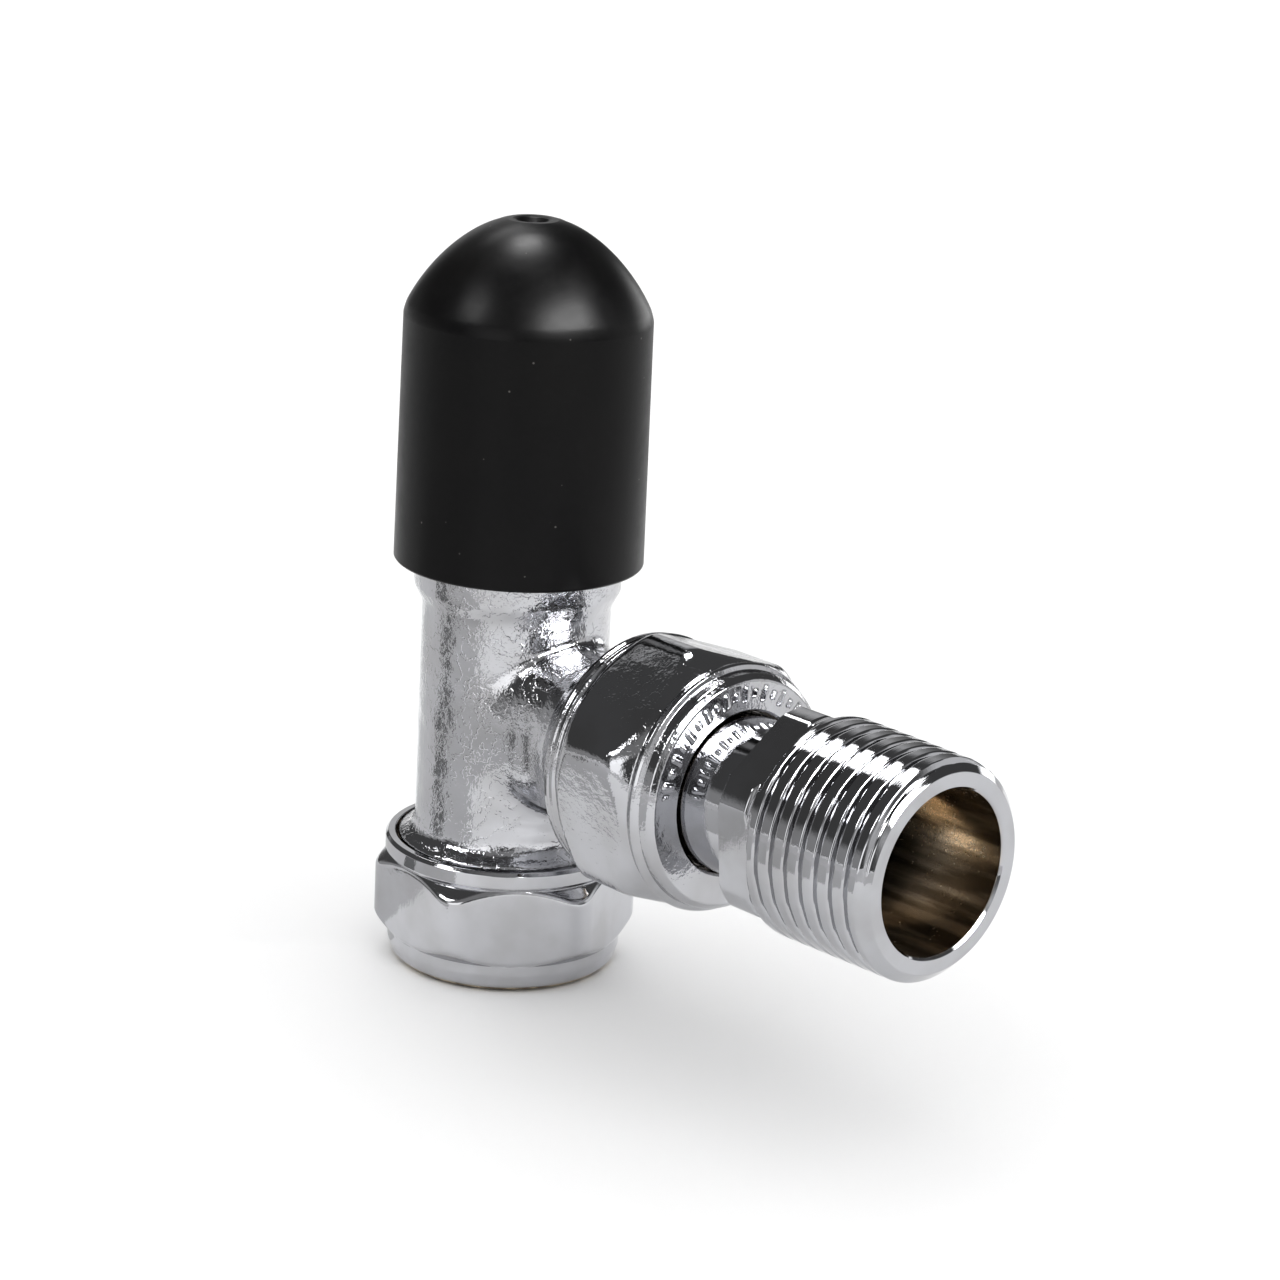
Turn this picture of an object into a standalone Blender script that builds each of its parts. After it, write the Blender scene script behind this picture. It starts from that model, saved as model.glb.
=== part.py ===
"""Angled lockshield radiator valve, 15 mm compression by half-inch radiator tail.

Every piece of the real valve is its own object.  Lengths are written in
millimetres and scaled to metres.  The origin is on the pipe axis at the
underside of the compression nut, +Z runs up the spindle and +X runs out
along the radiator tail.
"""

import math

import bmesh
import bpy
from mathutils import Matrix, Vector

MM = 0.001

# ---------------------------------------------------------------- main sizes
ROUND_STEPS = 36
SMALL_STEPS = 24
THREAD_STEPS = 16

BRANCH_HEIGHT = 26.4
BODY_RADIUS = 9.33
BODY_TOP = 42.9
BODY_FLARE_RADIUS = 10.05
BODY_FLANGE_RADIUS = 10.9
CHAMBER_RADIUS = 7.0
SEAT_BORE_RADIUS = 4.6
SEAT_HEIGHT = 18.6
PIPE_BORE_RADIUS = 7.65
PIPE_STOP_HEIGHT = 14.0

BSP_PITCH = 1.814
BSP_RADIUS = 10.478
BSP_DEPTH = 1.1
NUT_BORE_RADIUS = 10.8

COMPRESSION_NUT_FLATS = 23.6
UNION_NUT_FLATS = 24.0
NUT_CORNER_ROUND = 2.0
COMPRESSION_NUT_TURN = math.radians(-36.0)
UNION_NUT_TURN = math.radians(42.0)

UNION_BACK = 18.0
UNION_FRONT = 32.3
UNION_HOLE_RADIUS = 8.05
FACE_TICKS = 8

SPIGOT_END = 28.0
TAIL_NECK_RADIUS = 7.6
TAIL_FLATS_START = 39.4
TAIL_END = 58.0
TAIL_BORE_RADIUS = 7.77
TAIL_FLATS = 19.2
TAIL_FLATS_TURN = math.radians(36.0)

CAP_RIM = 41.4
CAP_RIM_RADIUS = 12.29
CAP_SHOULDER = 65.6
CAP_SHOULDER_RADIUS = 12.06
CAP_TOP = 75.07
CAP_BORE_RADIUS = 10.9
CAP_RIB_RADIUS = 9.55
CAP_RIB_COUNT = 6

SPINDLE_PITCH = 1.5
SPINDLE_SQUARE = 4.8

TURN_X = Matrix.Translation((0.0, 0.0, BRANCH_HEIGHT * MM)) @ Matrix.Rotation(
    math.radians(90.0), 4, "Y"
)


# ------------------------------------------------------------------- helpers
def clear_scene():
    """Remove everything the start-up file brings."""
    for item in list(bpy.data.objects):
        bpy.data.objects.remove(item, do_unlink=True)


def new_collection(name):
    """Make a collection in the scene."""
    group = bpy.data.collections.new(name)
    bpy.context.scene.collection.children.link(group)
    return group


def material(name, colour, roughness, metallic):
    """Plain Principled material for one sub-part."""
    mat = bpy.data.materials.new(name)
    mat.use_nodes = True
    shader = mat.node_tree.nodes["Principled BSDF"]
    shader.inputs["Base Color"].default_value = (*colour, 1.0)
    shader.inputs["Roughness"].default_value = roughness
    shader.inputs["Metallic"].default_value = metallic
    mat.diffuse_color = (*colour, 1.0)
    return mat


def add_object(name, mesh, group):
    """Put a mesh in the scene as a named object."""
    item = bpy.data.objects.new(name, mesh)
    group.objects.link(item)
    return item


def bake(item):
    """Replace an object's mesh by the result of its modifiers."""
    graph = bpy.context.evaluated_depsgraph_get()
    graph.update()
    mesh = bpy.data.meshes.new_from_object(item.evaluated_get(graph))
    old = item.data
    item.modifiers.clear()
    item.data = mesh
    bpy.data.meshes.remove(old)
    return item


def turned(name, outline, group, steps=ROUND_STEPS, closed=False, along_x=False):
    """Turn an outline of (radius, height) points about the axis.

    The outline runs down the outer side from top to bottom.  A closed one
    comes back up the bore, an open one starts and ends on the axis.
    """
    mesh = bpy.data.meshes.new(name)
    points = [(radius * MM, 0.0, height * MM) for radius, height in outline]
    count = len(points)
    last = count if closed else count - 1
    edges = [(index, (index + 1) % count) for index in range(last)]
    mesh.from_pydata(points, edges, [])
    item = add_object(name, mesh, group)
    screw = item.modifiers.new("turn", "SCREW")
    screw.axis = "Z"
    screw.angle = 2.0 * math.pi
    screw.steps = steps
    screw.render_steps = steps
    screw.use_merge_vertices = True
    screw.merge_threshold = 0.00002
    screw.use_normal_calculate = False
    bake(item)
    if along_x:
        item.data.transform(TURN_X)
    return item


def boolean(item, tool, operation, cutters):
    """Join, cut or intersect with a tool body, which is then put aside."""
    step = item.modifiers.new("boolean", "BOOLEAN")
    step.operation = operation
    step.solver = "EXACT"
    step.object = tool
    bake(item)
    for owner in list(tool.users_collection):
        owner.objects.unlink(tool)
    cutters.objects.link(tool)
    tool.hide_render = True
    tool.display_type = "WIRE"
    return item


def bevel_edges(item, width, segments, chooser):
    """Round the edges a test picks."""
    work = bmesh.new()
    work.from_mesh(item.data)
    chosen = [edge for edge in work.edges if chooser(edge)]
    bmesh.ops.bevel(
        work,
        geom=chosen,
        offset=width * MM,
        offset_type="OFFSET",
        segments=segments,
        profile=0.5,
        affect="EDGES",
    )
    work.to_mesh(item.data)
    work.free()
    return item


def block(name, size, centre, group, turn=0.0):
    """Box of a size about a centre, then swung about Z."""
    mesh = bpy.data.meshes.new(name)
    work = bmesh.new()
    bmesh.ops.create_cube(work, size=1.0)
    bmesh.ops.scale(work, vec=Vector(size) * MM, verts=work.verts)
    bmesh.ops.translate(work, vec=Vector(centre) * MM, verts=work.verts)
    work.to_mesh(mesh)
    work.free()
    mesh.transform(Matrix.Rotation(turn, 4, "Z"))
    return add_object(name, mesh, group)


def is_upright(edge):
    """True for an edge parallel to Z."""
    span = edge.verts[1].co - edge.verts[0].co
    return abs(span.z) > 0.9 * span.length


def hexagon_bar(name, flats, bottom, top, turn, corner_round, group):
    """Hexagon bar along Z with its six edges rounded."""
    mesh = bpy.data.meshes.new(name)
    work = bmesh.new()
    corner = flats / 2.0 / math.cos(math.pi / 6.0)
    bmesh.ops.create_cone(
        work,
        cap_ends=True,
        segments=6,
        radius1=corner * MM,
        radius2=corner * MM,
        depth=(top - bottom) * MM,
    )
    work.to_mesh(mesh)
    work.free()
    item = add_object(name, mesh, group)
    if corner_round > 0.0:
        # a rounding of radius r starts r * tan(30 deg) back from the corner
        bevel_edges(item, corner_round * math.tan(math.pi / 6.0), 3, is_upright)
    middle = (bottom + top) / 2.0
    item.data.transform(Matrix.Translation((0.0, 0.0, middle * MM)))
    item.data.transform(Matrix.Rotation(turn, 4, "Z"))
    return item


def helix_ridge(
    name, radius, depth, crest, pitch, turns, start, group, steps=THREAD_STEPS, taper=0.0
):
    """Thread ridge wound about Z from height start, faded out at both ends.

    radius is the crest radius at the start, taper the radius lost per
    millimetre of height, crest the width of the crest.
    """
    mesh = bpy.data.meshes.new(name)
    work = bmesh.new()
    sunk = 0.25
    base_half = crest / 2.0 + (depth + sunk) * math.tan(math.radians(20.0))
    total = int(round(turns * steps))
    fade = steps * 0.3
    rings = []
    for index in range(total + 1):
        angle = 2.0 * math.pi * index / steps
        height = start + pitch * index / steps
        rise = min(1.0, index / fade, (total - index) / fade)
        rise = max(rise, 0.0)
        outer = radius - taper * (height - start)
        root = outer - depth
        crest_radius = root - 0.2 + (depth + 0.2) * math.sin(rise * math.pi / 2.0)
        section = (
            (root - sunk, height - base_half),
            (crest_radius, height - crest / 2.0),
            (crest_radius, height + crest / 2.0),
            (root - sunk, height + base_half),
        )
        ring = []
        for distance, level in section:
            place = (
                distance * math.cos(angle) * MM,
                distance * math.sin(angle) * MM,
                level * MM,
            )
            ring.append(work.verts.new(place))
        rings.append(ring)
    for near, far in zip(rings, rings[1:]):
        for side in range(4):
            after = (side + 1) % 4
            work.faces.new((near[side], near[after], far[after], far[side]))
    work.faces.new(rings[0][::-1])
    work.faces.new(rings[-1])
    bmesh.ops.recalc_face_normals(work, faces=work.faces)
    work.to_mesh(mesh)
    work.free()
    return add_object(name, mesh, group)


def along_x(item):
    """Lay a body built along Z down onto the tail axis."""
    item.data.transform(TURN_X)
    return item


def ring_of_round_wire(name, centre_radius, wire_radius, height, group, steps=SMALL_STEPS):
    """Ring of round section about Z."""
    bpy.ops.mesh.primitive_torus_add(
        major_segments=steps,
        minor_segments=6,
        major_radius=centre_radius * MM,
        minor_radius=wire_radius * MM,
    )
    ring = bpy.context.active_object
    ring.name = name
    for owner in list(ring.users_collection):
        owner.objects.unlink(ring)
    group.objects.link(ring)
    ring.data.transform(Matrix.Translation((0.0, 0.0, height * MM)))
    return ring


def finish(item, mat, pivot=(0.0, 0.0, 0.0)):
    """Give the finished piece its material, shading and origin."""
    work = bmesh.new()
    work.from_mesh(item.data)
    bmesh.ops.remove_doubles(work, verts=work.verts, dist=0.000002)
    bmesh.ops.dissolve_degenerate(work, edges=work.edges, dist=0.000002)
    bmesh.ops.dissolve_limit(
        work, angle_limit=math.radians(0.2), verts=work.verts, edges=work.edges
    )
    work.to_mesh(item.data)
    work.free()
    item.data.materials.clear()
    item.data.materials.append(mat)
    for face in item.data.polygons:
        face.material_index = 0
    item.data.shade_smooth()
    item.data.set_sharp_from_angle(angle=math.radians(32.0))
    place = Vector(pivot) * MM
    item.data.transform(Matrix.Translation(-place))
    item.location = place
    return item


# ----------------------------------------------------------------- the body
def branch_blank(group):
    """Forged side branch: a loft whose root swells up and down the tube."""
    sections = []
    root_round = 5.0
    reach = 9.2
    for step in range(6):
        # fillet arc between the tube and the branch, in the upright plane
        angle = math.radians(90.0) * step / 5
        along = reach + root_round * (1.0 - math.cos(angle)) - root_round
        swell = root_round * (1.0 - math.sin(angle))
        sections.append((along, 9.05, 9.3 + swell))
    sections.append((12.6, 9.3, 9.4))
    sections.append((14.2, 9.95, 9.98))
    sections.append((15.0, 10.1, 10.1))
    sections.append((17.0, 10.1, 10.1))
    sections.append((17.3, 9.8, 9.8))
    mesh = bpy.data.meshes.new("branch_blank")
    work = bmesh.new()
    rings = []
    for along, half_width, half_height in sections:
        ring = []
        for index in range(ROUND_STEPS):
            angle = 2.0 * math.pi * (index + 0.5) / ROUND_STEPS
            place = (
                along * MM,
                half_width * math.cos(angle) * MM,
                (BRANCH_HEIGHT + half_height * math.sin(angle)) * MM,
            )
            ring.append(work.verts.new(place))
        rings.append(ring)
    for near, far in zip(rings, rings[1:]):
        for index in range(ROUND_STEPS):
            after = (index + 1) % ROUND_STEPS
            work.faces.new((near[index], near[after], far[after], far[index]))
    work.faces.new(rings[0][::-1])
    work.faces.new(rings[-1])
    bmesh.ops.recalc_face_normals(work, faces=work.faces)
    work.to_mesh(mesh)
    work.free()
    return add_object("branch_blank", mesh, group)


def build_valve_body(parts, cutters):
    """Forged angle body with its two threads and bored waterways."""
    outline = [
        (0.0, BODY_TOP),
        (BODY_FLARE_RADIUS - 0.4, BODY_TOP),
        (BODY_FLARE_RADIUS, BODY_TOP - 0.4),
        (BODY_FLARE_RADIUS, 41.2),
        (9.85, 40.1),
        (9.5, 39.1),
        (BODY_RADIUS, 38.2),
        (BODY_RADIUS, 16.2),
        (9.5, 15.3),
        (10.2, 14.4),
        (BODY_FLANGE_RADIUS, 13.8),
        (BODY_FLANGE_RADIUS, 12.5),
        (10.7, 12.3),
        (BSP_RADIUS - BSP_DEPTH, 12.3),
        (BSP_RADIUS - BSP_DEPTH, 5.0),
        (9.1, 4.5),
        (0.0, 4.5),
    ]
    body = turned("valve_body", outline, parts)
    boolean(body, branch_blank(cutters), "UNION", cutters)
    spigot_outline = [
        (0.0, SPIGOT_END),
        (8.9, SPIGOT_END),
        (BSP_RADIUS - BSP_DEPTH, SPIGOT_END - 0.5),
        (BSP_RADIUS - BSP_DEPTH, 16.0),
        (0.0, 16.0),
    ]
    spigot = turned("union_spigot_blank", spigot_outline, cutters, along_x=True)
    boolean(body, spigot, "UNION", cutters)
    lower = helix_ridge("lower_thread", BSP_RADIUS, BSP_DEPTH, 0.5, BSP_PITCH, 3.0, 5.8, cutters)
    boolean(body, lower, "UNION", cutters)
    side = helix_ridge("side_thread", BSP_RADIUS, BSP_DEPTH, 0.5, BSP_PITCH, 4.0, 19.0, cutters)
    boolean(body, along_x(side), "UNION", cutters)
    waterway = [
        (0.0, BODY_TOP + 2.0),
        (7.9, BODY_TOP + 2.0),
        (7.9, BODY_TOP + 0.05),
        (7.45, BODY_TOP - 0.4),
        (7.45, 34.6),
        (CHAMBER_RADIUS, 34.2),
        (CHAMBER_RADIUS, 17.6),
        (5.6, 17.6),
        (5.6, SEAT_HEIGHT),
        (SEAT_BORE_RADIUS, SEAT_HEIGHT),
        (SEAT_BORE_RADIUS, 15.5),
        (6.2, 15.5),
        (6.2, PIPE_STOP_HEIGHT),
        (PIPE_BORE_RADIUS, PIPE_STOP_HEIGHT),
        (PIPE_BORE_RADIUS, 8.6),
        (8.75, 4.45),
        (8.75, 2.0),
        (0.0, 2.0),
    ]
    upright = turned("upright_waterway", waterway, cutters)
    boolean(body, upright, "DIFFERENCE", cutters)
    side_way = [
        (0.0, SPIGOT_END + 2.0),
        (7.9, SPIGOT_END + 2.0),
        (7.9, SPIGOT_END + 0.05),
        (7.4, SPIGOT_END - 0.45),
        (7.4, 19.6),
        (5.8, 19.6),
        (5.8, 2.0),
        (0.0, 2.0),
    ]
    level = turned("side_waterway", side_way, cutters, along_x=True)
    boolean(body, level, "DIFFERENCE", cutters)
    chrome = material("chrome_body", (0.75, 0.76, 0.78), 0.12, 1.0)
    return finish(body, chrome)


# ------------------------------------------------------- headgear and spindle
def build_bonnet(parts, cutters):
    """Screwed headgear that carries the spindle and the gland."""
    outline = [
        (6.9, 53.7),
        (7.9, 53.7),
        (8.2, 53.4),
        (8.2, 52.7),
        (7.4, 52.7),
        (7.4, 50.5),
        (8.2, 50.5),
        (8.2, 48.6),
        (7.1, 48.6),
        (7.1, 35.9),
        (6.7, 35.5),
        (4.3, 35.5),
        (4.3, 50.4),
        (3.6, 50.9),
        (3.6, 53.0),
        (4.95, 53.0),
        (4.95, 58.5),
        (5.7, 58.5),
        (6.0, 58.2),
        (6.0, 54.2),
        (6.9, 53.9),
    ]
    bonnet = turned("bonnet", outline[3:] + outline[:3], parts, steps=SMALL_STEPS, closed=True)
    bar = hexagon_bar("bonnet_hexagon", 16.0, 44.2, 49.0, 0.2, 0.0, cutters)
    chamfer = [
        (0.0, 49.0),
        (8.4, 49.0),
        (9.0, 48.4),
        (9.0, 44.8),
        (8.5, 44.2),
        (0.0, 44.2),
    ]
    tool = turned("bonnet_chamfer", chamfer, cutters, steps=SMALL_STEPS)
    boolean(bar, tool, "INTERSECT", cutters)
    core = turned(
        "bonnet_hexagon_bore",
        [(0.0, 52.0), (6.0, 52.0), (6.0, 42.0), (0.0, 42.0)],
        cutters,
        steps=SMALL_STEPS,
    )
    boolean(bar, core, "DIFFERENCE", cutters)
    boolean(bonnet, bar, "UNION", cutters)
    brass = material("brass_bonnet", (0.72, 0.55, 0.28), 0.3, 1.0)
    return finish(bonnet, brass)


def build_bonnet_seal(parts):
    """Flat fibre washer between the body and the headgear hexagon."""
    outline = [(9.1, 43.9), (9.1, 43.2), (7.45, 43.2), (7.45, 43.9)]
    seal = turned("bonnet_seal", outline, parts, steps=SMALL_STEPS, closed=True)
    return finish(seal, material("fibre_red", (0.45, 0.12, 0.08), 0.7, 0.0))


def build_gland(parts, cutters):
    """Packing, follower washer and gland nut round the spindle."""
    packing = turned(
        "gland_packing",
        [(4.65, 56.8), (4.65, 53.3), (3.6, 53.3), (3.6, 56.8)],
        parts,
        steps=SMALL_STEPS,
        closed=True,
    )
    finish(packing, material("white_ptfe", (0.9, 0.9, 0.88), 0.5, 0.0))
    washer = turned(
        "gland_washer",
        [(4.65, 59.6), (4.65, 57.1), (3.6, 57.1), (3.6, 59.6)],
        parts,
        steps=SMALL_STEPS,
        closed=True,
    )
    finish(washer, material("brass_washer", (0.78, 0.6, 0.3), 0.28, 1.0))
    bar = hexagon_bar("gland_nut", 14.0, 55.4, 61.6, 0.4, 0.0, parts)
    chamfer = [
        (0.0, 61.6),
        (6.8, 61.6),
        (7.7, 60.9),
        (7.7, 55.4),
        (0.0, 55.4),
    ]
    tool = turned("gland_chamfer", chamfer, cutters, steps=SMALL_STEPS)
    boolean(bar, tool, "INTERSECT", cutters)
    bore = [
        (0.0, 63.0),
        (3.8, 63.0),
        (3.8, 59.9),
        (6.3, 59.9),
        (6.3, 54.0),
        (0.0, 54.0),
    ]
    hole = turned("gland_bore", bore, cutters, steps=SMALL_STEPS)
    boolean(bar, hole, "DIFFERENCE", cutters)
    finish(bar, material("brass_gland", (0.76, 0.58, 0.3), 0.26, 1.0))
    return bar


def build_spindle(parts, cutters):
    """Screwed lockshield spindle with a squared head and a foot for the plug."""
    outline = [
        (0.0, 63.0),
        (3.3, 63.0),
        (3.3, 49.0),
        (4.0, 48.3),
        (4.0, 48.0),
        (2.75, 48.0),
        (2.75, 46.2),
        (4.0, 46.2),
        (4.0, 45.2),
        (3.15, 45.0),
        (3.15, 37.0),
        (2.6, 36.4),
        (1.5, 36.2),
        (1.5, 31.6),
        (2.2, 31.6),
        (2.2, 30.0),
        (0.0, 30.0),
    ]
    spindle = turned("spindle", outline, parts, steps=SMALL_STEPS)
    size = (SPINDLE_SQUARE, SPINDLE_SQUARE, 7.0)
    head = block("spindle_square", size, (0.0, 0.0, 65.0), cutters)
    tip = [
        (0.0, 68.5),
        (2.5, 68.5),
        (3.25, 67.7),
        (3.25, 61.0),
        (0.0, 61.0),
    ]
    boolean(head, turned("spindle_tip", tip, cutters, steps=SMALL_STEPS), "INTERSECT", cutters)
    boolean(spindle, head, "UNION", cutters)
    thread = helix_ridge(
        "spindle_thread", 4.0, 0.85, 0.45, SPINDLE_PITCH, 4.4, 37.9, cutters, steps=12
    )
    boolean(spindle, thread, "UNION", cutters)
    finish(spindle, material("brass_spindle", (0.8, 0.63, 0.33), 0.22, 1.0))
    seal = ring_of_round_wire("spindle_o_ring", 3.55, 0.5, 47.1, parts, steps=24)
    finish(seal, material("black_rubber_spindle", (0.02, 0.02, 0.02), 0.6, 0.0))
    return spindle


def build_plug(parts, cutters):
    """Valve plug with its soft washer, the screw that holds it and the clip."""
    solid = [
        (0.0, 34.5),
        (3.6, 34.5),
        (3.9, 34.2),
        (3.9, 28.3),
        (4.5, 27.8),
        (6.2, 27.6),
        (6.4, 27.3),
        (6.4, 23.6),
        (5.9, 23.6),
        (5.9, 25.2),
        (0.0, 25.2),
    ]
    plug = turned("valve_plug", solid, parts, steps=SMALL_STEPS)
    socket = [
        (0.0, 36.0),
        (2.55, 36.0),
        (2.55, 33.1),
        (3.1, 33.1),
        (3.1, 31.8),
        (2.55, 31.8),
        (2.55, 29.6),
        (0.0, 29.6),
    ]
    boolean(plug, turned("plug_socket", socket, cutters, steps=SMALL_STEPS), "DIFFERENCE", cutters)
    screw_hole = [(0.0, 28.7), (1.75, 28.7), (1.75, 24.0), (0.0, 24.0)]
    hole = turned("plug_screw_hole", screw_hole, cutters, steps=16)
    boolean(plug, hole, "DIFFERENCE", cutters)
    finish(plug, material("brass_plug", (0.75, 0.57, 0.3), 0.32, 1.0))
    washer = turned(
        "seat_washer",
        [(5.6, 24.9), (5.6, 23.1), (5.4, 22.9), (2.0, 22.9), (2.0, 24.9)],
        parts,
        steps=SMALL_STEPS,
        closed=True,
    )
    finish(washer, material("black_rubber_seat", (0.03, 0.03, 0.03), 0.65, 0.0))
    screw_outline = [
        (0.0, 28.3),
        (1.2, 28.3),
        (1.45, 28.0),
        (1.45, 22.6),
        (2.9, 22.6),
        (2.9, 21.9),
        (2.3, 21.2),
        (0.0, 21.2),
    ]
    screw = turned("washer_screw", screw_outline, parts, steps=24)
    slot = block("screw_slot", (8.0, 0.8, 1.0), (0.0, 0.0, 21.2), cutters)
    boolean(screw, slot, "DIFFERENCE", cutters)
    finish(screw, material("brass_screw", (0.7, 0.52, 0.27), 0.35, 1.0))
    clip = turned(
        "plug_retaining_clip",
        [(2.8, 32.8), (2.8, 32.1), (1.85, 32.1), (1.85, 32.8)],
        parts,
        steps=24,
        closed=True,
    )
    gap = block("clip_gap", (4.0, 1.0, 3.0), (2.5, 0.0, 32.45), cutters)
    boolean(clip, gap, "DIFFERENCE", cutters)
    finish(clip, material("spring_steel_clip", (0.5, 0.5, 0.52), 0.3, 1.0))
    return plug


# ------------------------------------------------------------------- the cap
def build_cap(parts, cutters):
    """Moulded bullet cap with gripping ribs inside, and the ring it rides on."""
    outline = [
        (0.0, CAP_TOP - 0.7),
        (1.1, CAP_TOP - 0.6),
        (1.6, CAP_TOP - 0.12),
        (1.9, CAP_TOP),
        (2.5, CAP_TOP),
        (3.1, CAP_TOP - 0.16),
    ]
    # ogive dome from the shoulder crease to the flat tip
    dome = 12
    rise = CAP_TOP - 0.16 - CAP_SHOULDER
    for step in range(1, dome):
        part = 1.0 - step / dome
        radius = 3.1 + (CAP_SHOULDER_RADIUS - 3.1) * (1.0 - part ** 1.25) ** 0.65
        outline.append((radius, CAP_SHOULDER + rise * part))
    outline += [
        (CAP_SHOULDER_RADIUS, CAP_SHOULDER),
        (CAP_RIM_RADIUS, CAP_RIM + 0.25),
        (CAP_RIM_RADIUS - 0.2, CAP_RIM),
        (CAP_BORE_RADIUS + 0.15, CAP_RIM),
        (CAP_BORE_RADIUS, CAP_RIM + 0.3),
        (CAP_BORE_RADIUS, 63.5),
        (10.2, 66.0),
        (8.8, 68.4),
        (6.6, 70.6),
        (3.8, 72.2),
        (0.0, 72.9),
    ]
    cap = turned("cap", outline, parts)
    depth = CAP_BORE_RADIUS - CAP_RIB_RADIUS + 0.5
    for index in range(CAP_RIB_COUNT):
        rib = block(
            "cap_rib_" + str(index),
            (depth, 1.4, 17.0),
            (CAP_RIB_RADIUS + depth / 2.0, 0.0, 53.5),
            cutters,
            turn=2.0 * math.pi * index / CAP_RIB_COUNT,
        )
        boolean(cap, rib, "UNION", cutters)
    finish(cap, material("black_plastic_cap", (0.015, 0.015, 0.016), 0.38, 0.0))
    ring = ring_of_round_wire("cap_grip_ring", 8.5, 0.75, 51.6, parts)
    finish(ring, material("black_rubber_grip", (0.02, 0.02, 0.02), 0.6, 0.0))
    return cap


# -------------------------------------------------------- compression fitting
def build_compression_nut(parts, cutters):
    """Hexagon nut with a round collar above and a round skirt below."""
    skirt = COMPRESSION_NUT_FLATS / 2.0 - 0.08
    outline = [
        (0.0, 12.9),
        (11.9, 12.9),
        (12.2, 12.55),
        (12.2, 11.3),
        (11.95, 10.9),
        (skirt - 0.15, 10.8),
        (skirt - 0.15, 3.1),
        (skirt, 2.9),
        (skirt - 0.02, 1.6),
        (skirt - 0.3, 0.8),
        (skirt - 0.8, 0.25),
        (skirt - 1.5, 0.0),
        (0.0, 0.0),
    ]
    nut = turned("compression_nut", outline, parts)
    bar = hexagon_bar(
        "compression_hexagon",
        COMPRESSION_NUT_FLATS,
        2.5,
        11.2,
        COMPRESSION_NUT_TURN,
        NUT_CORNER_ROUND,
        cutters,
    )
    chamfer = [
        (0.0, 11.15),
        (11.5, 11.15),
        (14.0, 8.85),
        (14.0, 5.1),
        (11.35, 2.55),
        (0.0, 2.55),
    ]
    boolean(bar, turned("compression_chamfer", chamfer, cutters), "INTERSECT", cutters)
    boolean(nut, bar, "UNION", cutters)
    bore = [
        (0.0, 14.0),
        (11.2, 14.0),
        (11.2, 11.4),
        (NUT_BORE_RADIUS, 11.1),
        (NUT_BORE_RADIUS, 3.3),
        (9.0, 3.3),
        (7.65, 2.2),
        (7.65, 0.35),
        (7.9, -0.05),
        (7.9, -1.0),
        (0.0, -1.0),
    ]
    boolean(nut, turned("compression_bore", bore, cutters), "DIFFERENCE", cutters)
    finish(nut, material("chrome_compression_nut", (0.76, 0.77, 0.79), 0.14, 1.0))
    olive = [
        (7.8, 6.6),
        (8.2, 4.9),
        (8.0, 3.0),
        (7.66, 2.9),
        (7.66, 6.6),
    ]
    item = turned("olive", olive, parts, closed=True)
    finish(item, material("brass_olive", (0.83, 0.66, 0.35), 0.2, 1.0))
    return nut


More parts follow.
